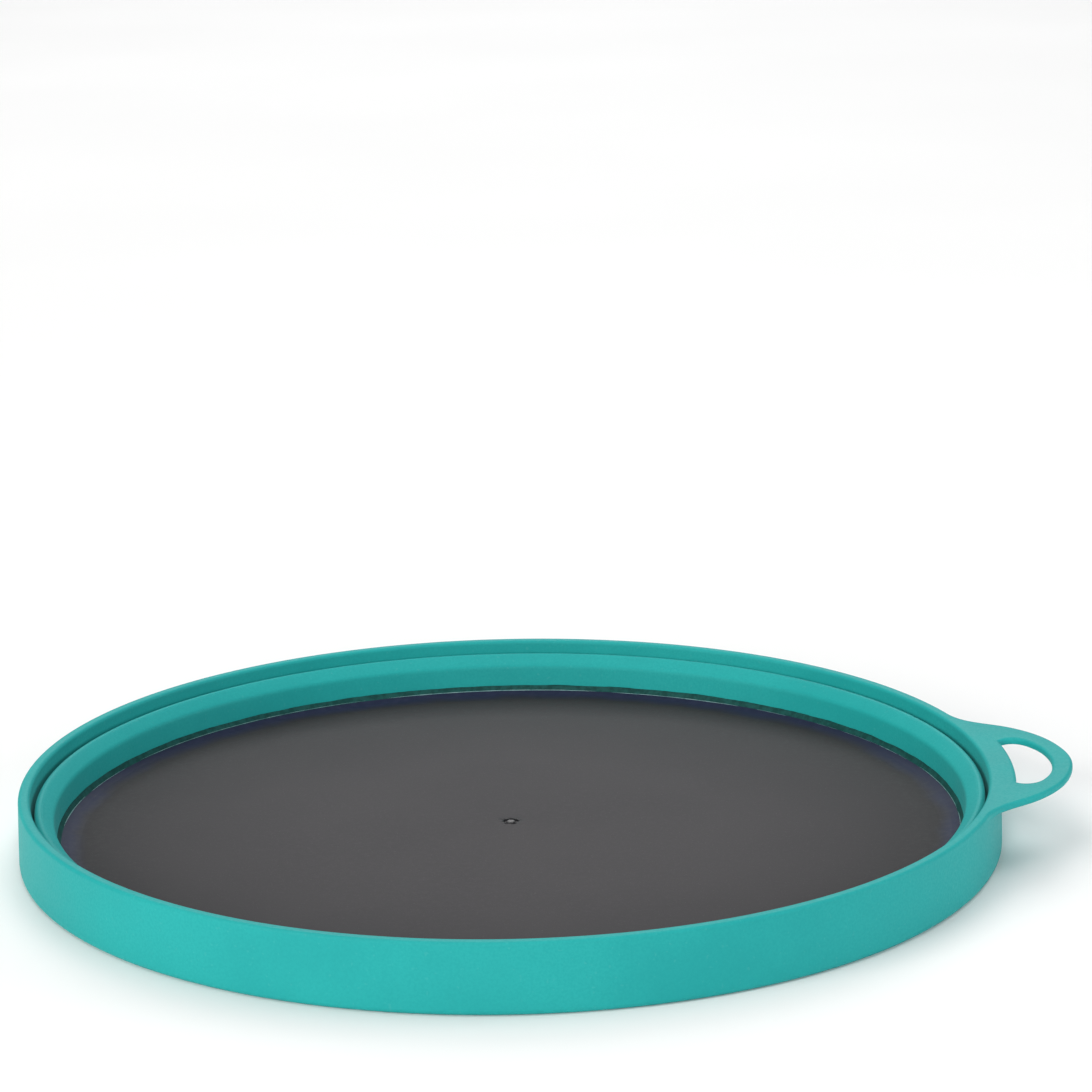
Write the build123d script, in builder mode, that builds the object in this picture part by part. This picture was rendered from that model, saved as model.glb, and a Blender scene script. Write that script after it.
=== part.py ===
"""Collapsible silicone travel plate, folded flat: it opens into a bowl when its rim is lifted.

Units are millimetres. +Z is up, and the origin is on the plate's axis, at the centre of the
flat underside it rests on. The hang loop points along +X.

Body "base": nylon floor, the silicone wall moulded round its edge, and the foot ring.
Body "wall": the thin silicone web that turns over when the rim is lifted.
Body "rim":  outer band, the nylon hoop that keeps it round, and the hang loop.
"""

from build123d import *

import os
from math import cos, radians, sin

os.makedirs("parts", exist_ok=True)

# Nylon floor
FLOOR_THICKNESS = 3.0
FLOOR_FLAT_R = 94.8  # flat cutting surface, before the cove begins
COVE_R = 98.9  # top of the cove, where the bevelled lip begins
COVE_Z = 3.9
LIP_R = 99.7  # inner edge of the floor's lip
LIP_Z = 4.7
EDGE_R = 100.6  # the floor's outer edge, held in the silicone
LOCK_R = 101.3  # crown of the rib that locks the floor into the silicone
LOCK_LOW_Z = 2.4
LOCK_HIGH_Z = 3.6
GATE_R = 1.7  # round scar left by the moulding gate
GATE_DEPTH = 0.3
GATE_NUB_R = 0.7
GATE_NUB_HEIGHT = 0.25

# Silicone wall and foot moulded on to the floor
WALL_OUTER_R = 102.3
BEVEL_FOOT_R = 100.1  # crease between the upright wall and the bevel
BEVEL_FOOT_Z = 9.8
CREST_Z = 12.4
CREST_R = 102.6  # inner edge of the narrow crest on top of the bevel
SHOULDER_R = 103.2
SHOULDER_LOW_Z = 11.3
SHOULDER_ROOT_Z = 10.4
CREST_ROUND = 0.35
FOOT_INNER_R = 95.8
FOOT_Z = 1.6
FOOT_CHAMFER = 0.4

# Folding web, hanging between the wall and the rim
WEB_INNER_R = 103.55
WEB_OUTER_R = 104.75
WEB_LOW_Z = 0.7
WEB_HIGH_Z = 11.9
WEB_ROUND = 0.3

# Rim band
RIM_HEIGHT = 15.0
RIM_INNER_R = 105.1
RIM_TOP_R = 107.7
RIM_BOTTOM_R = 108.1
RIM_TOP_ROUND = 0.6
RIM_BOTTOM_ROUND = 1.0

# Nylon hoop sealed inside the rim band
HOOP_INNER_R = 106.0
HOOP_OUTER_R = 107.0
HOOP_LOW_Z = 5.5
HOOP_HIGH_Z = 12.5
HOOP_ROUND = 0.3

# Hang loop: its outline on the +Y side, from the tip round to where it flares into the rim
LOOP_TOP_Z = RIM_HEIGHT  # where it leaves the rim; it rises slightly towards its tip
LOOP_RISE = 2.9  # degrees
LOOP_THICKNESS = 1.6
LOOP_TIP_X = 124.0
LOOP_OUTLINE = [(122.7, 9.0), (117.2, 20.5), (112.0, 25.9), (107.3, 29.2)]
LOOP_FLARE = (99.5, 37.5)
LOOP_ROUND = 0.4
HOLE_INNER_R = 110.7  # the hole's inner edge runs concentric with the rim
HOLE_HALF_ANGLE = 8.1
HOLE_TIP_X = 119.5
HOLE_OUTLINE = [(118.6, 7.6), (116.2, 13.2), (113.3, 16.2)]
HOLE_CORNER = 1.0


# --- Base ---------------------------------------------------------------------------------

with BuildPart() as base_plate:
    with BuildSketch(Plane.XZ):
        with BuildLine():
            Polyline(
                (FLOOR_FLAT_R, FLOOR_THICKNESS),
                (0, FLOOR_THICKNESS),
                (0, 0),
                (FOOT_INNER_R, 0),
                (FOOT_INNER_R, FOOT_Z),
                (EDGE_R, FOOT_Z),
                (EDGE_R, LOCK_LOW_Z),
                (LOCK_R, LOCK_LOW_Z),
                (LOCK_R, LOCK_HIGH_Z),
                (EDGE_R, LOCK_HIGH_Z),
                (EDGE_R, LIP_Z),
                (LIP_R, LIP_Z),
                (COVE_R, COVE_Z),
            )
            # The cove leaves the flat floor tangentially and climbs to the foot of the lip.
            TangentArc(
                (FLOOR_FLAT_R, FLOOR_THICKNESS), (COVE_R, COVE_Z), tangent=(1, 0)
            )
        make_face()
    revolve(axis=Axis.Z)
    with BuildSketch(Plane.XY.offset(FLOOR_THICKNESS)):
        Circle(GATE_R)
    extrude(amount=-GATE_DEPTH, mode=Mode.SUBTRACT)
    with BuildSketch(Plane.XY.offset(FLOOR_THICKNESS - GATE_DEPTH)):
        Circle(GATE_NUB_R)
    extrude(amount=GATE_NUB_HEIGHT)
base_plate.part.label = "base_plate"
export_step(base_plate.part, "parts/base_plate.step")

with BuildPart() as base_wall:
    with BuildSketch(Plane.XZ) as wall_profile:
        with BuildLine():
            Polyline(
                (LIP_R, LIP_Z),
                (BEVEL_FOOT_R, BEVEL_FOOT_Z),
                (CREST_R, CREST_Z),
                (SHOULDER_R, CREST_Z),
                (SHOULDER_R, SHOULDER_LOW_Z),
                (WALL_OUTER_R, SHOULDER_ROOT_Z),
                (WALL_OUTER_R, FOOT_Z),
                (EDGE_R, FOOT_Z),
                (EDGE_R, LOCK_LOW_Z),
                (LOCK_R, LOCK_LOW_Z),
                (LOCK_R, LOCK_HIGH_Z),
                (EDGE_R, LOCK_HIGH_Z),
                (EDGE_R, LIP_Z),
                close=True,
            )
        make_face()
        crest = wall_profile.vertices().group_by(Axis.Y)[-1]
        fillet(crest, CREST_ROUND / 2)
    revolve(axis=Axis.Z)
base_wall.part.label = "base_wall"
export_step(base_wall.part, "parts/base_wall.step")

with BuildPart() as foot_ring:
    with BuildSketch(Plane.XZ) as foot_profile:
        with BuildLine():
            Polyline(
                (FOOT_INNER_R, 0),
                (WALL_OUTER_R, 0),
                (WALL_OUTER_R, FOOT_Z),
                (FOOT_INNER_R, FOOT_Z),
                close=True,
            )
        make_face()
        toe = foot_profile.vertices().group_by(Axis.Y)[0].sort_by(Axis.X)[-1]
        chamfer(toe, FOOT_CHAMFER)
    revolve(axis=Axis.Z)
foot_ring.part.label = "foot_ring"
export_step(foot_ring.part, "parts/foot_ring.step")


# --- Folding web --------------------------------------------------------------------------

with BuildPart() as fold_web:
    with BuildSketch(Plane.XZ) as web_profile:
        with BuildLine():
            Polyline(
                (WEB_INNER_R, WEB_LOW_Z),
                (WEB_OUTER_R, WEB_LOW_Z),
                (WEB_OUTER_R, WEB_HIGH_Z),
                (WEB_INNER_R, WEB_HIGH_Z),
                close=True,
            )
        make_face()
        fillet(web_profile.vertices(), WEB_ROUND)
    revolve(axis=Axis.Z)
fold_web.part.label = "fold_web"
export_step(fold_web.part, "parts/fold_web.step")


# --- Rim ----------------------------------------------------------------------------------

with BuildPart() as rim_hoop:
    with BuildSketch(Plane.XZ) as hoop_profile:
        with BuildLine():
            Polyline(
                (HOOP_INNER_R, HOOP_LOW_Z),
                (HOOP_OUTER_R, HOOP_LOW_Z),
                (HOOP_OUTER_R, HOOP_HIGH_Z),
                (HOOP_INNER_R, HOOP_HIGH_Z),
                close=True,
            )
        make_face()
        fillet(hoop_profile.vertices(), HOOP_ROUND)
    revolve(axis=Axis.Z)
rim_hoop.part.label = "rim_hoop"
export_step(rim_hoop.part, "parts/rim_hoop.step")

with BuildPart() as rim_band:
    with BuildSketch(Plane.XZ) as rim_profile:
        with BuildLine():
            Polyline(
                (RIM_INNER_R, 0),
                (RIM_BOTTOM_R, 0),
                (RIM_TOP_R, RIM_HEIGHT),
                (RIM_INNER_R, RIM_HEIGHT),
                close=True,
            )
        make_face()
        fillet(rim_profile.vertices().group_by(Axis.Y)[-1], RIM_TOP_ROUND)
        fillet(rim_profile.vertices().group_by(Axis.Y)[0], RIM_BOTTOM_ROUND)
    revolve(axis=Axis.Z)
    # The hoop sits in a closed pocket of its own shape.
    add(rim_hoop.part, mode=Mode.SUBTRACT)
rim_band.part.label = "rim_band"
export_step(rim_band.part, "parts/rim_band.step")

# The loop is moulded on to the band's outside face, so the band's full cone is taken from it.
with BuildPart() as band_envelope:
    with BuildSketch(Plane.XZ):
        with BuildLine():
            Polyline(
                (0, 0),
                (RIM_BOTTOM_R, 0),
                (RIM_TOP_R, RIM_HEIGHT),
                (0, RIM_HEIGHT),
                close=True,
            )
        make_face()
    revolve(axis=Axis.Z)

hole_corner = (
    HOLE_INNER_R * cos(radians(HOLE_HALF_ANGLE)),
    HOLE_INNER_R * sin(radians(HOLE_HALF_ANGLE)),
)

# The loop's top face tilts about the line where it leaves the band.
loop_x_axis = (cos(radians(LOOP_RISE)), 0, sin(radians(LOOP_RISE)))
loop_normal = (-sin(radians(LOOP_RISE)), 0, cos(radians(LOOP_RISE)))
loop_plane = Plane(
    origin=(0, 0, LOOP_TOP_Z - RIM_TOP_R * sin(radians(LOOP_RISE))),
    x_dir=loop_x_axis,
    z_dir=loop_normal,
)

with BuildPart() as hang_loop:
    with BuildSketch(loop_plane) as loop_outline:
        with BuildLine():
            outer_side = LOOP_OUTLINE[::-1]
            Spline(
                LOOP_FLARE,
                *outer_side,
                (LOOP_TIP_X, 0),
                *[(x, -y) for x, y in LOOP_OUTLINE],
                (LOOP_FLARE[0], -LOOP_FLARE[1]),
            )
            Line((LOOP_FLARE[0], -LOOP_FLARE[1]), LOOP_FLARE)
        make_face()
        with BuildLine():
            RadiusArc(
                (hole_corner[0], -hole_corner[1]), hole_corner, -HOLE_INNER_R
            )
            Spline(
                hole_corner,
                *HOLE_OUTLINE[::-1],
                (HOLE_TIP_X, 0),
                *[(x, -y) for x, y in HOLE_OUTLINE],
                (hole_corner[0], -hole_corner[1]),
            )
        make_face(mode=Mode.SUBTRACT)
        corners = loop_outline.vertices().filter_by_position(
            Axis.X, hole_corner[0] - 0.4, hole_corner[0] + 0.4
        )
        fillet(corners, HOLE_CORNER)
    extrude(amount=-LOOP_THICKNESS)
    add(band_envelope.part, mode=Mode.SUBTRACT)
    free_edges = hang_loop.edges().filter_by(
        lambda e: (e @ 0.5).X ** 2 + (e @ 0.5).Y ** 2 > (RIM_BOTTOM_R + 1) ** 2
        and abs((e % 0.5).Z) < 0.1
    )
    fillet(free_edges, LOOP_ROUND)
hang_loop.part.label = "hang_loop"
export_step(hang_loop.part, "parts/hang_loop.step")
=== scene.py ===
"""Collapsible silicone travel plate, folded flat, on a pale floor.

Silicone skins take the place of the CAD rings: the rim with its loop, the wall round the floor,
and the thin web between them, which turns over as the rim is lifted. The nylon floor is a
moulded tray with its gate scar, its cove and a thin line of silicone flash round the lip.
Lengths are millimetres until a mesh is made; the floor, lights and camera are in metres.
"""

import math
import random

import bmesh
import bpy
import numpy as np
from mathutils import Matrix, Vector, noise
from mathutils.geometry import delaunay_2d_cdt


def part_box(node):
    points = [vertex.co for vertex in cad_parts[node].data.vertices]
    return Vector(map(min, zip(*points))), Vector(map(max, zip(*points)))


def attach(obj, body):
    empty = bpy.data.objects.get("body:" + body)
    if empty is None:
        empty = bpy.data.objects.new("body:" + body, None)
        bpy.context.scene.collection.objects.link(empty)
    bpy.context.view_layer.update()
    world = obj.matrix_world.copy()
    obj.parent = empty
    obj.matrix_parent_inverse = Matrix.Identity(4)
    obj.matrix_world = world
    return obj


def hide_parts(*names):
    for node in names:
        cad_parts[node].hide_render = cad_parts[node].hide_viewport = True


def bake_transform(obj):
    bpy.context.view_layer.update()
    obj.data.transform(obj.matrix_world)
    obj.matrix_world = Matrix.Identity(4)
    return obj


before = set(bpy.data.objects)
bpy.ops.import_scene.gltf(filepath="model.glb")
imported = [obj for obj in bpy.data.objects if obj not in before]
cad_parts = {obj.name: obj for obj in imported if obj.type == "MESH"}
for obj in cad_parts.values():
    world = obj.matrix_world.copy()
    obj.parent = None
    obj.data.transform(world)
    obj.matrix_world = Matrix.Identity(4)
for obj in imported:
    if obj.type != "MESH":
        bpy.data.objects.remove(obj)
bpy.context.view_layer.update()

MM = 0.001
COLUMNS = 720  # round the plate
COLUMN_ANGLE = 2 * math.pi / COLUMNS
SHARP_EDGE = math.radians(38)
WELD = 2e-6  # points closer than this, in metres, are joined

# Sizes shared between the pieces and their materials
RIM_TOP_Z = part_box("rim_band")[1].z / MM
FLOOR_Z = 3.0
FLOOR_LIP_Z = 4.95  # where the wall starts above the nylon floor's lip
GATE_R = 1.7  # round scar in the middle of the nylon floor
COVE_START_R, COVE_END_R = 93.6, 98.0  # the cove's painted navy reflection comes in between these
LIP_START_R, LIP_END_R = 98.85, 99.0  # and the lip's painted green reflection between these
FLASH_R, FLASH_Z = 98.98, 3.88


# --- Profiles and meshes ------------------------------------------------------------------


def rounded(corners, closed=True, arc_step=math.radians(12)):
    """A polyline of (r, z) points through (r, z, radius) corners, each corner an arc."""
    points = []
    count = len(corners)
    for i, (r, z, radius) in enumerate(corners):
        at_end = not closed and i in (0, count - 1)
        if radius == 0 or at_end:
            points.append((r, z))
            continue
        here = Vector((r, z))
        to_last = (Vector(corners[i - 1][:2]) - here).normalized()
        to_next = (Vector(corners[(i + 1) % count][:2]) - here).normalized()
        half = to_last.angle(to_next) / 2
        centre = here + (to_last + to_next).normalized() * radius / math.sin(half)
        first = here + to_last * radius / math.tan(half) - centre
        last = here + to_next * radius / math.tan(half) - centre
        turn = first.angle_signed(last)
        steps = max(2, round(abs(turn) / arc_step))
        for k in range(steps + 1):
            spoke = first.copy()
            spoke.rotate(Matrix.Rotation(-turn * k / steps, 2))
            points.append(tuple(centre + spoke))
    return points


def split_long(points, longest, closed=True):
    """The same polyline with extra points, so that no step is over the longest."""
    result = []
    pairs = list(zip(points, points[1:] + points[:1]))
    if not closed:
        pairs = pairs[:-1]
    for a, b in pairs:
        pieces = max(1, math.ceil(math.dist(a, b) / longest))
        for k in range(pieces):
            t = k / pieces
            result.append((a[0] + (b[0] - a[0]) * t, a[1] + (b[1] - a[1]) * t))
    if not closed:
        result.append(points[-1])
    return result


def spline(xs, ys, at):
    """Cubic spline through the points, level at both ends."""
    xs, ys = np.array(xs, float), np.array(ys, float)
    n = len(xs)
    h = np.diff(xs)
    matrix = np.zeros((n, n))
    right = np.zeros(n)
    matrix[0, 0] = matrix[-1, -1] = 1
    for i in range(1, n - 1):
        matrix[i, i - 1] = h[i]
        matrix[i, i] = 2 * (h[i - 1] + h[i])
        matrix[i, i + 1] = h[i - 1]
        right[i] = 3 * (
            h[i] * (ys[i] - ys[i - 1]) / h[i - 1] + h[i - 1] * (ys[i + 1] - ys[i]) / h[i]
        )
    slopes = np.linalg.solve(matrix, right)
    at = np.clip(np.atleast_1d(np.array(at, float)), xs[0], xs[-1])
    k = np.clip(np.searchsorted(xs, at, side="right") - 1, 0, n - 2)
    t = (at - xs[k]) / h[k]
    return (
        (2 * t**3 - 3 * t**2 + 1) * ys[k]
        + (t**3 - 2 * t**2 + t) * h[k] * slopes[k]
        + (3 * t**2 - 2 * t**3) * ys[k + 1]
        + (t**3 - t**2) * h[k] * slopes[k + 1]
    )


def natural_spline(xs, ys, at):
    """Cubic spline through the points with free ends."""
    xs, ys = np.array(xs, float), np.array(ys, float)
    n = len(xs)
    h = np.diff(xs)
    matrix = np.zeros((n, n))
    right = np.zeros(n)
    matrix[0, 0] = matrix[-1, -1] = 1
    for i in range(1, n - 1):
        matrix[i, i - 1], matrix[i, i], matrix[i, i + 1] = h[i - 1], 2 * (h[i - 1] + h[i]), h[i]
        right[i] = 6 * ((ys[i + 1] - ys[i]) / h[i] - (ys[i] - ys[i - 1]) / h[i - 1])
    bend = np.linalg.solve(matrix, right)
    k = np.clip(np.searchsorted(xs, at, side="right") - 1, 0, n - 2)
    a, b = (xs[k + 1] - at) / h[k], (at - xs[k]) / h[k]
    return (
        a * ys[k]
        + b * ys[k + 1]
        + ((a**3 - a) * bend[k] + (b**3 - b) * bend[k + 1]) * h[k] ** 2 / 6
    )


def arc_between(start, corner, end, steps=8):
    """A smooth turn from start to end round the corner, without its two end points."""
    start, corner, end = Vector(start), Vector(corner), Vector(end)
    points = []
    for k in range(1, steps):
        t = k / steps
        points.append(tuple(start * (1 - t) ** 2 + corner * 2 * t * (1 - t) + end * t**2))
    return points


def inside(point, outline):
    """Is the point inside the closed outline?"""
    x, y = point
    crossings = 0
    for a, b in zip(outline, outline[1:] + outline[:1]):
        if (a.y > y) != (b.y > y):
            crossings += x < a.x + (y - a.y) * (b.x - a.x) / (b.y - a.y)
    return crossings % 2 == 1


def turned(angle, r):
    """The point (x, y) at this angle and radius."""
    return (r * math.cos(angle), r * math.sin(angle))


def make_piece(name, vertices, faces, material):
    """A clean closed mesh in metres, shaded smooth with its sharp edges kept."""
    mesh = bpy.data.meshes.new(name)
    bm = bmesh.new()
    made = [bm.verts.new(Vector(v) * MM) for v in vertices]
    for face in faces:
        corners = [made[i] for i in face]
        if len(set(corners)) == len(corners):
            bm.faces.new(corners)
    bmesh.ops.remove_doubles(bm, verts=bm.verts, dist=WELD)
    bmesh.ops.dissolve_degenerate(bm, edges=bm.edges, dist=WELD)
    loose_edges = [e for e in bm.edges if not e.link_faces]
    bmesh.ops.delete(bm, geom=loose_edges, context="EDGES")
    loose = [v for v in bm.verts if not v.link_faces]
    bmesh.ops.delete(bm, geom=loose, context="VERTS")
    bmesh.ops.recalc_face_normals(bm, faces=bm.faces)
    bm.to_mesh(mesh)
    open_edges = sum(1 for e in bm.edges if len(e.link_faces) != 2)
    print(name, "vertices", len(bm.verts), "faces", len(bm.faces), "open edges", open_edges)
    bm.free()
    mesh.shade_smooth()
    mesh.set_sharp_from_angle(angle=SHARP_EDGE)
    mesh.materials.append(material)
    obj = bpy.data.objects.new(name, mesh)
    bpy.context.scene.collection.objects.link(obj)
    return obj


def quad(row, next_row, column):
    """One face of a grid turned round the axis, where vertex = row * COLUMNS + column."""
    nxt = (column + 1) % COLUMNS
    return (
        row * COLUMNS + column,
        row * COLUMNS + nxt,
        next_row * COLUMNS + nxt,
        next_row * COLUMNS + column,
    )


def ring_faces(rows):
    """The faces between the rows of a grid whose last row joins its first."""
    return [quad(i, (i + 1) % rows, j) for i in range(rows) for j in range(COLUMNS)]


def revolved(name, profile, material, ripple=None):
    """A closed profile turned round the axis. ripple(row, angle) may move a point by (dr, dz)."""
    vertices = []
    for i, (r, z) in enumerate(profile):
        for j in range(COLUMNS):
            angle = j * COLUMN_ANGLE
            dr, dz = ripple(i, angle) if ripple else (0, 0)
            vertices.append(
                ((r + dr) * math.cos(angle), (r + dr) * math.sin(angle), z + dz)
            )
    return make_piece(name, vertices, ring_faces(len(profile)), material)


# --- Materials ----------------------------------------------------------------------------


class Nodes:
    """A few short ways to build a material's node tree."""

    def __init__(self, name):
        self.material = bpy.data.materials.new(name)
        self.material.use_nodes = True
        self.tree = self.material.node_tree
        self.shader = self.tree.nodes["Principled BSDF"]
        self.place = self.tree.nodes.new("ShaderNodeTexCoord").outputs["Object"]

    def link(self, value, socket):
        """Connects a socket, or sets a constant on it."""
        if isinstance(value, bpy.types.NodeSocket):
            self.tree.links.new(value, socket)
        else:
            socket.default_value = value

    def noise(self, size_mm, detail, roughness):
        node = self.tree.nodes.new("ShaderNodeTexNoise")
        node.inputs["Scale"].default_value = 1 / (size_mm * MM)
        node.inputs["Detail"].default_value = detail
        node.inputs["Roughness"].default_value = roughness
        self.tree.links.new(self.place, node.inputs["Vector"])
        return node.outputs["Fac"]

    def ramp(self, value, stops):
        """stops: (position, colour or grey level)."""
        node = self.tree.nodes.new("ShaderNodeValToRGB")
        elements = node.color_ramp.elements
        while len(elements) < len(stops):
            elements.new(0.5)
        for element, (position, colour) in zip(elements, stops):
            element.position = position
            if not isinstance(colour, tuple):
                colour = (colour,) * 3
            element.color = (*colour, 1)
        self.tree.links.new(value, node.inputs["Fac"])
        return node.outputs["Color"]

    def math(self, operation, a, b=0.0):
        """One arithmetic step on numbers or sockets."""
        node = self.tree.nodes.new("ShaderNodeMath")
        node.operation = operation
        self.link(a, node.inputs[0])
        self.link(b, node.inputs[1])
        return node.outputs[0]

    def range(self, value, low, high, to_low=0.0, to_high=1.0):
        """A smooth step from to_low to to_high as the value goes from low to high."""
        node = self.tree.nodes.new("ShaderNodeMapRange")
        node.interpolation_type = "SMOOTHSTEP"
        self.link(value, node.inputs["Value"])
        for socket, number in zip(
            ("From Min", "From Max", "To Min", "To Max"), (low, high, to_low, to_high)
        ):
            self.link(number, node.inputs[socket])
        return node.outputs["Result"]

    def mix(self, factor, a, b, blend="MIX"):
        """A colour between a and b."""
        node = self.tree.nodes.new("ShaderNodeMix")
        node.data_type = "RGBA"
        node.blend_type = blend
        self.link(factor, node.inputs["Factor"])
        for value, socket in ((a, "A"), (b, "B")):
            target = [s for s in node.inputs if s.name == socket and s.type == "RGBA"][0]
            if isinstance(value, tuple):
                value = (*value, 1)
            self.link(value, target)
        return [s for s in node.outputs if s.type == "RGBA"][0]

    def radius(self):
        """Distance from the plate's axis, in millimetres."""
        split = self.tree.nodes.new("ShaderNodeSeparateXYZ")
        self.tree.links.new(self.place, split.inputs[0])
        squares = self.math(
            "ADD",
            self.math("MULTIPLY", split.outputs["X"], split.outputs["X"]),
            self.math("MULTIPLY", split.outputs["Y"], split.outputs["Y"]),
        )
        return self.math("MULTIPLY", self.math("SQRT", squares), 1 / MM)

    def bump(self, layers):
        """layers: (height value, strength, distance in mm), from coarse to fine."""
        normal = None
        for height, strength, distance in layers:
            node = self.tree.nodes.new("ShaderNodeBump")
            node.inputs["Strength"].default_value = strength
            node.inputs["Distance"].default_value = distance * MM
            self.tree.links.new(height, node.inputs["Height"])
            if normal:
                self.tree.links.new(normal, node.inputs["Normal"])
            normal = node.outputs["Normal"]
        self.tree.links.new(normal, self.shader.inputs["Normal"])

    def set(self, **values):
        """Sets the shader's inputs by name, with _ for a space."""
        for name, value in values.items():
            socket = self.shader.inputs[name.replace("_", " ")]
            if isinstance(value, tuple) and socket.type == "RGBA":
                value = (*value, 1)
            self.link(value, socket)


def silicone():
    """Matte coloured silicone: cloudy colour, powdery sheen, mould texture and dust specks."""
    n = Nodes("teal_silicone")
    cloud = n.noise(28, 3, 0.55)
    grain = n.noise(0.55, 4, 0.6)
    specks = n.ramp(n.noise(0.9, 1, 0.4), [(0.70, 0.0), (0.76, 1.0)])
    colour = n.mix(n.range(cloud, 0.3, 0.7), (0.015, 0.345, 0.340), (0.019, 0.378, 0.368))
    colour = n.mix(n.range(grain, 0.35, 0.65, 0.0, 0.35), colour, (0.012, 0.310, 0.306))
    colour = n.mix(n.math("MULTIPLY", specks, 0.08), colour, (0.20, 0.52, 0.50))
    rough = n.math(
        "ADD",
        n.range(grain, 0.3, 0.7, 0.50, 0.62),
        n.range(cloud, 0.3, 0.7, -0.03, 0.05),
    )
    n.set(
        Base_Color=colour,
        Roughness=rough,
        IOR=1.41,
        Specular_IOR_Level=0.2,
        Sheen_Weight=0.04,
        Sheen_Roughness=0.4,
        Sheen_Tint=(0.85, 0.98, 0.95),
        Subsurface_Weight=0.12,
        Subsurface_Radius=(0.25, 0.8, 0.8),
        Subsurface_Scale=0.0012,
    )
    n.bump([(cloud, 0.12, 0.6), (grain, 0.25, 0.03)])
    return n.material


def nylon():
    """Matte nylon with a fine spark texture, smoother round the cove; painted reflection in the
    cove and on the lip, painted shade towards the floor's edge and in the gate scar.
    """
    n = Nodes("charcoal_nylon")
    radius = n.radius()
    mottle = n.noise(1.6, 5, 0.65)
    cloud = n.noise(34, 3, 0.5)
    spark = n.noise(0.38, 3, 0.7)
    flat = n.mix(n.range(cloud, 0.3, 0.7), (0.0400, 0.0382, 0.0414), (0.0456, 0.0433, 0.0462))
    flat = n.mix(n.range(mottle, 0.35, 0.7, 0.0, 0.8), flat, (0.066, 0.062, 0.067))
    flat = n.mix(n.range(spark, 0.58, 0.74, 0.0, 0.55), flat, (0.14, 0.135, 0.14))
    # Painted shade: the floor gets darker towards its edge, as if shaded by the wall round it.
    # The steps are (radius in decimetres, brightness).
    edge = n.ramp(
        n.math("DIVIDE", radius, 100.0),
        [(0.45, 1.0), (0.60, 0.92), (0.75, 0.80), (0.84, 0.69), (0.91, 0.58), (0.955, 0.46)],
    )
    flat = n.mix(1.0, flat, edge, "MULTIPLY")
    blotch = n.range(mottle, 0.35, 0.7, 0.0, 0.7)
    # Painted reflection: the cove is coloured dark navy for the bluish reflection in its smoother
    # nylon.
    cove = n.mix(blotch, (0.016, 0.020, 0.047), (0.026, 0.031, 0.064))
    # Painted reflection: the nylon lip is coloured dark green for the teal wall reflected in it.
    lip = n.mix(n.range(mottle, 0.4, 0.6), (0.008, 0.052, 0.048), (0.013, 0.080, 0.073))
    # The cove's inner boundary wanders a little.
    wander = n.range(n.noise(14, 2, 0.5), 0.3, 0.7, -0.8, 0.8)
    in_cove = n.range(n.math("ADD", radius, wander), COVE_START_R, COVE_END_R)
    lip_painted_reflection_mask = n.range(radius, LIP_START_R, LIP_END_R)
    # The gate scar is a dark ring of painted shade in its dimple, with a painted highlight for
    # its pale middle.
    scar = n.range(radius, GATE_R + 0.2, GATE_R + 0.7, 1.0, 0.0)
    flat = n.mix(scar, flat, (0.016, 0.016, 0.018))
    flat = n.mix(n.range(radius, 0.6, 1.1, 1.0, 0.0), flat, (0.150, 0.148, 0.152))
    colour = n.mix(lip_painted_reflection_mask, n.mix(in_cove, flat, cove), lip)
    rough = n.math(
        "SUBTRACT",
        n.range(mottle, 0.3, 0.7, 0.50, 0.62),
        n.math("ADD", n.math("MULTIPLY", in_cove, 0.04), n.math("MULTIPLY", scar, 0.22)),
    )
    n.set(
        Base_Color=colour,
        Roughness=rough,
        IOR=1.5,
        Specular_IOR_Level=0.09,
    )
    fade = n.math("SUBTRACT", 1.0, n.math("MULTIPLY", in_cove, 0.7))
    n.bump(
        [
            (cloud, 0.10, 0.5),
            (n.math("MULTIPLY", mottle, fade), 0.35, 0.06),
            (n.math("MULTIPLY", spark, fade), 0.30, 0.03),
        ]
    )
    return n.material


def flash():
    """Smoother silicone for the thin line of flash along the nylon's lip; its paler colour is a
    painted highlight.
    """
    n = Nodes("silicone_flash")
    patch = n.noise(2.5, 3, 0.6)
    # Painted highlight: the flash is coloured paler than the teal silicone it is made of.
    n.set(
        Base_Color=n.mix(n.range(patch, 0.3, 0.7), (0.13, 0.27, 0.28), (0.27, 0.44, 0.45)),
        Roughness=n.range(patch, 0.3, 0.7, 0.25, 0.45),
        IOR=1.41,
    )
    n.bump([(n.noise(0.4, 2, 0.5), 0.4, 0.03)])
    return n.material


def floor_material():
    """Plain pale floor, very slightly uneven in tone."""
    n = Nodes("pale_floor")
    cloud = n.noise(400, 2, 0.5)
    n.set(
        Base_Color=n.mix(n.range(cloud, 0.3, 0.7), (0.92, 0.92, 0.92), (0.94, 0.94, 0.94)),
        Roughness=0.85,
        Specular_IOR_Level=0.1,
    )
    n.bump([(n.noise(3, 3, 0.5), 0.05, 0.05)])
    return n.material


TEAL = silicone()
NYLON = nylon()
FLASH = flash()


# --- Rim and hang loop --------------------------------------------------------------------

RIM_INNER_R = 105.1
RIM_FACE_R = 107.7
RIM_FOOT_R = 108.08
RIM_INNER_ROUND = 0.9
RIM_OUTER_ROUND = 0.8
RIM_FOOT_ROUND = 1.3
FACE_LOW_Z = 2.0  # the band's face leans inwards from this height
FACE_TOP_Z = 13.7  # up to this one
LOOP_LOW_Z = RIM_TOP_Z - 1.6
LOOP_LOW_ROUND = 0.45
LOOP_TOP_ROUND = 0.8
LOOP_ROOT = 0.4  # the loop starts to climb this far outside the band
LOOP_RISE = 0.05  # and climbs this much for each millimetre outwards
ARC_STEPS = 8

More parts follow.
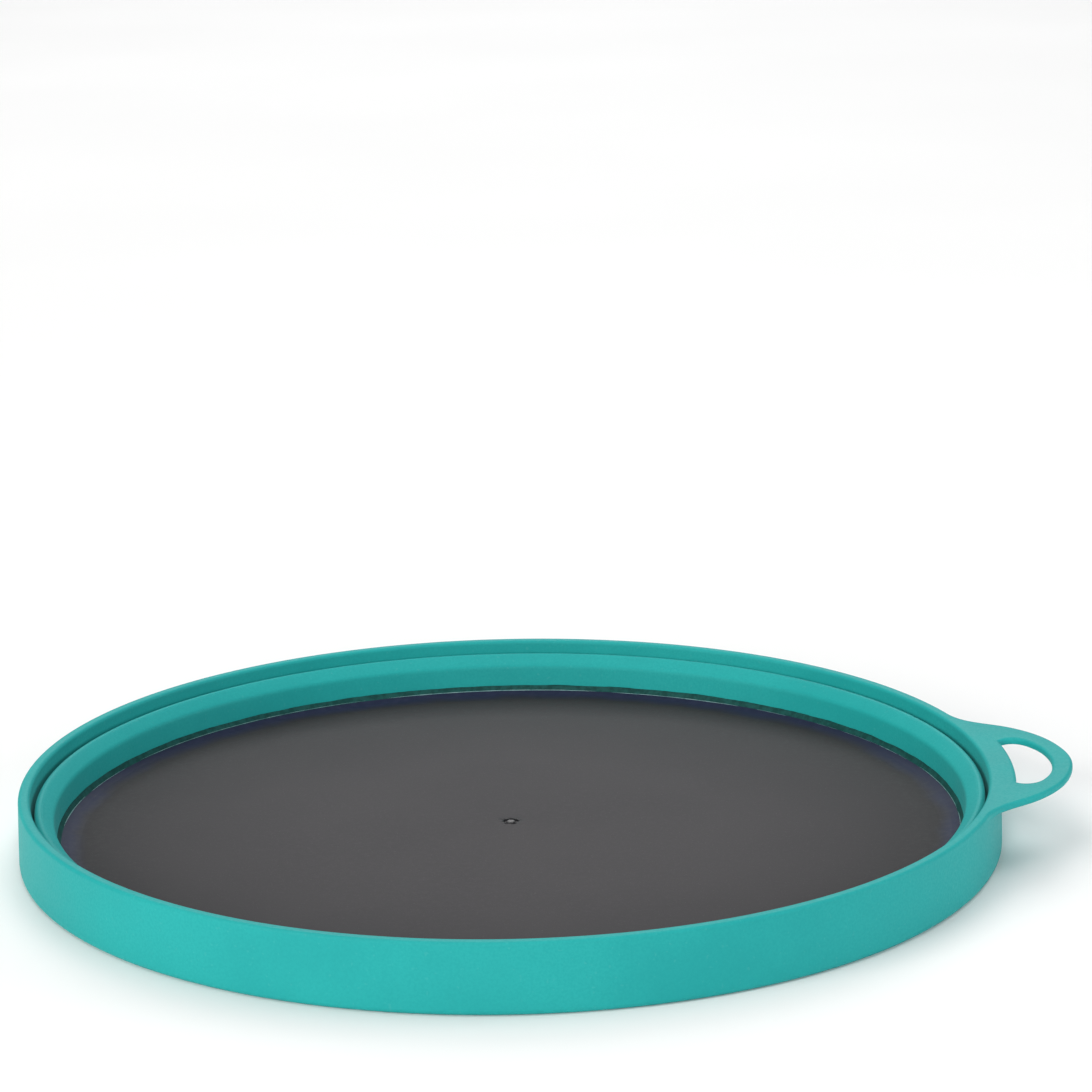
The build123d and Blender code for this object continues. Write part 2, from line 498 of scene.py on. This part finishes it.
# The loop's edge as (degrees from +X, radius), and its hole as (x, y) on the +Y side
LOOP_EDGE = [
    (0, 124.0),
    (4.2, 123.0),
    (7.7, 121.0),
    (9.9, 119.0),
    (11.6, 117.0),
    (13.0, 115.0),
    (14.15, 113.0),
    (15.3, 111.1),
    (16.7, 109.3),
    (18.2, 108.2),
    (20.0, 107.7),
]
HOLE_INNER_R = 110.95
HOLE_HALF_ANGLE = math.radians(7.4)
HOLE_CORNER = (110.0, 15.4)
HOLE_SIDE = [
    (111.9, 16.1),
    (113.5, 15.95),
    (116.2, 13.2),
    (118.4, 8.1),
    (119.2, 4.1),
    (119.5, 0.0),
]
HOLE_MIDDLE = Vector((114, 0))
HOLE_ARC_POINTS = 37
HOLE_SIDE_POINTS = 91
HOLE_MIN_STEP = 0.02
CORNER_POINTS = 4  # points at each end of the side that the rounded corner replaces
HOLE_SECTOR = 20  # columns each side of the loop's axis whose flat faces go round the hole


def face_radius(z):
    """Radius of the band's outside face at height z, before its edges are rounded."""
    t = min(max((z - FACE_LOW_Z) / (FACE_TOP_Z - FACE_LOW_Z), 0), 1)
    return RIM_FOOT_R + (RIM_FACE_R - RIM_FOOT_R) * t


def rim_skin():
    """The band and its loop: rows of points round the plate, with the hole cut through."""
    angles = [j * COLUMN_ANGLE for j in range(COLUMNS)]
    signed = [a if a <= math.pi else a - 2 * math.pi for a in angles]
    edge_r = spline(*zip(*LOOP_EDGE), [math.degrees(abs(a)) for a in signed])
    edge = [Vector(turned(a, r)) for a, r in zip(signed, edge_r)]
    normals = []
    for j in range(COLUMNS):
        tangent = edge[(j + 1) % COLUMNS] - edge[j - 1]
        normals.append(Vector((tangent.y, -tangent.x)).normalized())
    reach = [max(0.0, r - RIM_FACE_R) for r in edge_r]
    low_round = [min(LOOP_LOW_ROUND, 0.35 * d) for d in reach]
    top_round = [RIM_OUTER_ROUND + (LOOP_TOP_ROUND - RIM_OUTER_ROUND) * min(1, d) for d in reach]
    arc = [math.pi / 2 * k / ARC_STEPS for k in range(ARC_STEPS + 1)]
    rows = []

    def add_row(points):
        rows.append([(p[0], p[1], z) for p, z in points])

    def circle_row(r, z):
        add_row([(turned(a, r), z) for a in signed])

    # Inner wall and top, from the foot up
    foot = rounded(
        [
            (RIM_INNER_R, 6.0, 0),
            (RIM_INNER_R, 0.0, RIM_FOOT_ROUND),
            (RIM_FOOT_R, 0.0, RIM_FOOT_ROUND),
            (face_radius(6.0), 6.0, 0),
        ],
        closed=False,
    )
    for r, z in split_long(foot, 1.5, closed=False)[::-1]:
        circle_row(r, z)
    for z in (8.0, 10.0, 12.0):
        circle_row(RIM_INNER_R, z)
    for turn in arc:
        circle_row(
            RIM_INNER_R + RIM_INNER_ROUND * (1 - math.cos(turn)),
            RIM_TOP_Z - RIM_INNER_ROUND * (1 - math.sin(turn)),
        )
    top_inner = len(rows) - 1
    # Round the outer edge of the band and the loop
    for turn in arc:
        add_row(
            [
                (e - n * size * (1 - math.sin(turn)), RIM_TOP_Z - size * (1 - math.cos(turn)))
                for e, n, size in zip(edge, normals, top_round)
            ]
        )
    top_edge = top_inner + 1
    # Down the loop's side to its underside, or where there is no loop down the band's face
    for k, turn in enumerate(arc):
        row = []
        for e, n, low, d in zip(edge, normals, low_round, reach):
            blend = min(1.0, d)
            drop = FACE_TOP_Z - LOOP_LOW_Z
            start = LOOP_LOW_Z + max(low, drop * (1 - blend) * (1 - k / ARC_STEPS))
            if d > 0:
                z = LOOP_LOW_Z + (start - LOOP_LOW_Z) * (1 - math.sin(turn))
            else:
                z = FACE_TOP_Z - drop * k / ARC_STEPS
            inset = low * (1 - math.cos(turn))
            inset += (1 - blend) * (RIM_FACE_R - face_radius(z))
            row.append((e - n * inset, z))
        add_row(row)
    bottom_edge = len(rows) - 1
    # Root fillet under the loop, back to the band's face
    for turn in arc:
        row = []
        for a, low in zip(signed, low_round):
            z = LOOP_LOW_Z - low * (1 - math.cos(turn))
            row.append((turned(a, face_radius(z) + low * (1 - math.sin(turn))), z))
        add_row(row)
    bottom_inner = bottom_edge + 1
    for z in (11.0, 9.5, 8.0, 7.0):
        circle_row(face_radius(z), z)

    def risen(x, y, z):
        return (x, y, z + LOOP_RISE * max(0.0, math.hypot(x, y) - RIM_FACE_R - LOOP_ROOT))

    vertices = [risen(*p) for row in rows for p in row]
    faces = []
    in_hole_sector = set(range(-HOLE_SECTOR, HOLE_SECTOR))
    for i in range(len(rows)):
        flat_face = i in (top_inner, bottom_edge)
        for j in range(COLUMNS):
            signed_j = j if j < COLUMNS // 2 else j - COLUMNS
            if flat_face and signed_j in in_hole_sector:
                continue
            faces.append(quad(i, (i + 1) % len(rows), j))

    # The hole: its outline, then rounded rings from the top face down to the bottom face
    sweep = np.linspace(-HOLE_HALF_ANGLE, HOLE_HALF_ANGLE, HOLE_ARC_POINTS)
    hole = [turned(t, HOLE_INNER_R) for t in sweep]
    side = [HOLE_CORNER] + HOLE_SIDE
    side += [(x, -y) for x, y in side[-2::-1]]
    lengths = np.cumsum([0] + [math.dist(a, b) for a, b in zip(side, side[1:])])
    at = np.linspace(0, lengths[-1], HOLE_SIDE_POINTS)
    xs = natural_spline(lengths, [p[0] for p in side], at)
    ys = natural_spline(lengths, [p[1] for p in side], at)
    curve = list(zip(xs, ys))[CORNER_POINTS:-CORNER_POINTS]
    hole += arc_between(hole[-1], HOLE_CORNER, curve[0])
    hole += curve
    hole += arc_between(curve[-1], (HOLE_CORNER[0], -HOLE_CORNER[1]), hole[0])
    hole = [Vector(p) for p in hole]
    hole = [p for i, p in enumerate(hole) if (p - hole[i - 1]).length > HOLE_MIN_STEP]
    count = len(hole)
    outward = []
    for i in range(count):
        tangent = hole[(i + 1) % count] - hole[i - 1]
        outward.append(Vector((tangent.y, -tangent.x)).normalized())
    spot, normal = hole[count // 2], outward[count // 2]
    if (spot + normal - HOLE_MIDDLE).length < (spot - HOLE_MIDDLE).length:
        outward = [-n for n in outward]
    rings = [
        (
            LOOP_TOP_ROUND * (1 - math.sin(turn)),
            RIM_TOP_Z - LOOP_TOP_ROUND * (1 - math.cos(turn)),
        )
        for turn in arc
    ]
    rings += [
        (
            LOOP_LOW_ROUND * (1 - math.cos(turn)),
            LOOP_LOW_Z + LOOP_LOW_ROUND * (1 - math.sin(turn)),
        )
        for turn in arc
    ]
    hole_start = len(vertices)
    for inset, z in rings:
        for p, n in zip(hole, outward):
            q = p + n * inset
            vertices.append(risen(q.x, q.y, z))
    for i in range(len(rings) - 1):
        for j in range(count):
            k = (j + 1) % count
            base = hole_start + i * count
            faces.append((base + j, base + k, base + count + k, base + count + j))

    # The two flat faces round the hole
    def fill(inner_row, outer_row, hole_ring):
        columns = [j % COLUMNS for j in range(-HOLE_SECTOR, HOLE_SECTOR + 1)]
        outer = [inner_row * COLUMNS + j for j in columns]
        outer += [outer_row * COLUMNS + j for j in columns[::-1]]
        ring = [hole_start + hole_ring * count + j for j in range(count)]
        index = outer + ring
        flat = [Vector(vertices[i][:2]) for i in index]
        edges = [(i, (i + 1) % len(outer)) for i in range(len(outer))]
        first = len(outer)
        edges += [(first + i, first + (i + 1) % count) for i in range(count)]
        out_points, _, triangles, origin, _, _ = delaunay_2d_cdt(flat, edges, [], 0, 1e-7)
        for triangle in triangles:
            centre = sum((out_points[i] for i in triangle), Vector((0, 0))) / 3
            if inside(centre, flat[:first]) and not inside(centre, flat[first:]):
                faces.append(tuple(index[origin[i][0]] for i in triangle))

    fill(top_inner, top_edge, 0)
    fill(bottom_inner, bottom_edge, len(rings) - 1)
    return make_piece("silicone_rim", vertices, faces, TEAL)


rim = rim_skin()
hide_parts("rim_band", "hang_loop")
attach(rim, "rim")


# --- Wall round the floor -----------------------------------------------------------------

base_profile = split_long(
    rounded(
        [
            (99.72, FLOOR_LIP_Z, 0.12),
            (100.1, 9.8, 1.6),
            (102.6, 12.01, 0.1),
            (102.9, 11.4, 0),
            (102.3, 10.6, 0.4),
            (102.3, 0.0, 0.45),
            (95.9, 0.0, 0.12),
            (95.9, 1.6, 0),
            (100.6, 1.6, 0),
            (100.6, FLOOR_LIP_Z - 0.1, 0),
        ]
    ),
    1.2,
)


def wall_ripple(row, angle):
    """The wall's lower edge creeps unevenly down the nylon lip."""
    r, z = base_profile[row]
    if z > FLOOR_LIP_Z + 0.35 or r > 100.2 or z < 4:
        return 0, 0
    spot = Vector((math.cos(angle), math.sin(angle), 0)) * 14
    creep = 0.16 * noise.noise(spot) + 0.07 * noise.noise(spot * 5)
    return -0.25 * abs(creep), creep


base = revolved("silicone_base", base_profile, TEAL, wall_ripple)
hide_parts("base_wall", "foot_ring")
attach(base, "base")


# --- Folding web --------------------------------------------------------------------------

# From the top of the bevel over the rounded crest, down into the groove and under to the rim
web_outside = rounded(
    [
        (102.4, 11.75, 0),
        (103.25, 12.6, 0.9),
        (104.3, 11.55, 1.1),
        (104.4, 2.4, 0.8),
        (104.9, 1.25, 0.25),
        (105.7, 1.05, 0),
    ],
    closed=False,
)
web_inside = rounded(
    [
        (105.7, 0.45, 0),
        (104.2, 0.35, 0.7),
        (103.7, 1.8, 0.8),
        (103.6, 10.6, 0.8),
        (102.4, 11.3, 0),
    ],
    closed=False,
)
web_profile = split_long(web_outside + web_inside, 0.25)
web = revolved("silicone_web", web_profile, TEAL)
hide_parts("fold_web")
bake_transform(web)


# --- Nylon floor --------------------------------------------------------------------------

tray_profile = split_long(
    rounded(
        [
            (0.0, 0.0, 0),
            (95.8, 0.0, 0.12),
            (95.8, 1.6, 0),
            (100.6, 1.6, 0),
            (100.6, 4.85, 0),
            (99.75, 5.0, 0.15),
            (98.95, 3.86, 0.12),
            (97.2, 3.28, 1.5),
            (94.8, FLOOR_Z, 2.0),
            (60.0, FLOOR_Z, 0),
            (20.0, FLOOR_Z, 0),
            (4.0, FLOOR_Z, 0),
            (GATE_R + 0.35, FLOOR_Z, 0),
            (GATE_R + 0.18, FLOOR_Z + 0.09, 0),
            (GATE_R, FLOOR_Z + 0.04, 0),
            (GATE_R - 0.2, FLOOR_Z - 0.28, 0),
            (GATE_R - 0.6, FLOOR_Z - 0.26, 0),
            (0.8, FLOOR_Z + 0.06, 0),
            (0.4, FLOOR_Z + 0.16, 0),
            (0.0, FLOOR_Z + 0.08, 0),
        ]
    ),
    8.0,
)


def gate_ripple(row, angle):
    """The gate scar isn't quite round or level."""
    r, z = tray_profile[row]
    if r > GATE_R + 0.2 or r == 0 or z < 2:
        return 0, 0
    wobble = noise.noise(Vector((math.cos(angle), math.sin(angle), r)) * 1.7)
    return 0.12 * wobble * r, 0.05 * wobble


tray = revolved("nylon_tray", tray_profile, NYLON, gate_ripple)
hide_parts("base_plate")
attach(tray, "base")
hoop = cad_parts["rim_hoop"]
hoop.data.materials.clear()
hoop.data.materials.append(NYLON)


def flash_line():
    """Short tapering threads of silicone along the nylon lip's lower edge."""
    rng = random.Random(7)
    vertices, faces = [], []
    sides = 6
    angle = 0.0
    while angle < 2 * math.pi - 0.02:
        span = rng.uniform(0.10, 0.80)
        span = min(span, 2 * math.pi - 0.01 - angle)
        thick = rng.uniform(0.07, 0.15)
        lean = rng.uniform(-0.08, 0.10)
        steps = max(6, int(span / 0.012))
        start = len(vertices)
        for k in range(steps + 1):
            t = k / steps
            a = angle + span * t
            taper = min(1.0, 6 * t + 0.08, 6 * (1 - t) + 0.08)
            wave = 0.7 + 0.6 * abs(noise.noise(Vector((a * 37, thick * 50, 0))))
            size = thick * taper * wave
            r_mid = FLASH_R + lean + 0.05 * noise.noise(Vector((a * 20, 3, 1)))
            z_mid = FLASH_Z + lean * 1.3
            for s in range(sides):
                turn = 2 * math.pi * s / sides
                r = r_mid + size * math.cos(turn)
                vertices.append((*turned(a, r), z_mid + 0.8 * size * math.sin(turn)))
        for k in range(steps):
            for s in range(sides):
                nxt = (s + 1) % sides
                low = start + k * sides
                faces.append((low + s, low + nxt, low + sides + nxt, low + sides + s))
        faces.append(tuple(start + s for s in range(sides))[::-1])
        faces.append(tuple(start + steps * sides + s for s in range(sides)))
        angle += span + rng.uniform(0.003, 0.03)
    return make_piece("silicone_flash_line", vertices, faces, FLASH)


flash_threads = flash_line()
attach(flash_threads, "base")


# --- Floor, light and camera --------------------------------------------------------------

FLOOR_HALF = 30.0  # metres


def studio_floor():
    """One large flat face under the plate."""
    mesh = bpy.data.meshes.new("studio_floor")
    half = FLOOR_HALF
    mesh.from_pydata(
        [(-half, -half, 0), (half, -half, 0), (half, half, 0), (-half, half, 0)],
        [],
        [(0, 1, 2, 3)],
    )
    mesh.materials.append(floor_material())
    obj = bpy.data.objects.new("studio_floor", mesh)
    bpy.context.scene.collection.objects.link(obj)


def softbox(name, place, size, watts, colour=(1, 1, 1)):
    """A square soft light aimed at the plate's centre, in metres."""
    data = bpy.data.lights.new(name, "AREA")
    data.shape = "RECTANGLE"
    data.size, data.size_y = size, size
    data.energy = watts
    data.color = colour
    obj = bpy.data.objects.new(name, data)
    bpy.context.scene.collection.objects.link(obj)
    obj.location = place
    obj.rotation_mode = "QUATERNION"
    obj.rotation_quaternion = (-Vector(place)).to_track_quat("-Z", "Y")


studio_floor()
softbox("top_softbox", (0.0, 0.2, 3.0), 3.0, 50)
softbox("front_softbox", (0.0, -3.2, 0.9), 1.6, 47)
softbox("left_softbox", (-2.3, -1.7, 1.2), 1.6, 56, (1.0, 0.985, 0.935))
softbox("right_softbox", (1.3, 0.0, 0.36), 0.65, 5.4, (0.99, 1.0, 1.02))
softbox("back_softbox", (0.0, 2.6, 2.2), 2.0, 46)

world = bpy.data.worlds.new("studio")
bpy.context.scene.world = world
world.use_nodes = True
world.node_tree.nodes["Background"].inputs["Color"].default_value = (0.95, 0.97, 1.0, 1)
world.node_tree.nodes["Background"].inputs["Strength"].default_value = 0.08
bpy.context.scene.view_settings.view_transform = "Standard"

CAMERA_PLACE = Vector((0.01271, -0.72828, 0.24883))
CAMERA_TARGET = Vector((0.00785, 0.20199, 0.015))
CAMERA_ROLL = math.radians(1.053)
camera_data = bpy.data.cameras.new("camera")
camera_data.lens = 113.89
camera_data.clip_start, camera_data.clip_end = 0.01, 100
camera = bpy.data.objects.new("camera", camera_data)
bpy.context.scene.collection.objects.link(camera)
camera.location = CAMERA_PLACE
camera.rotation_mode = "QUATERNION"
level = (CAMERA_TARGET - CAMERA_PLACE).to_track_quat("-Z", "Y")
camera.rotation_quaternion = level @ Matrix.Rotation(-CAMERA_ROLL, 3, "Z").to_quaternion()
bpy.context.scene.camera = camera
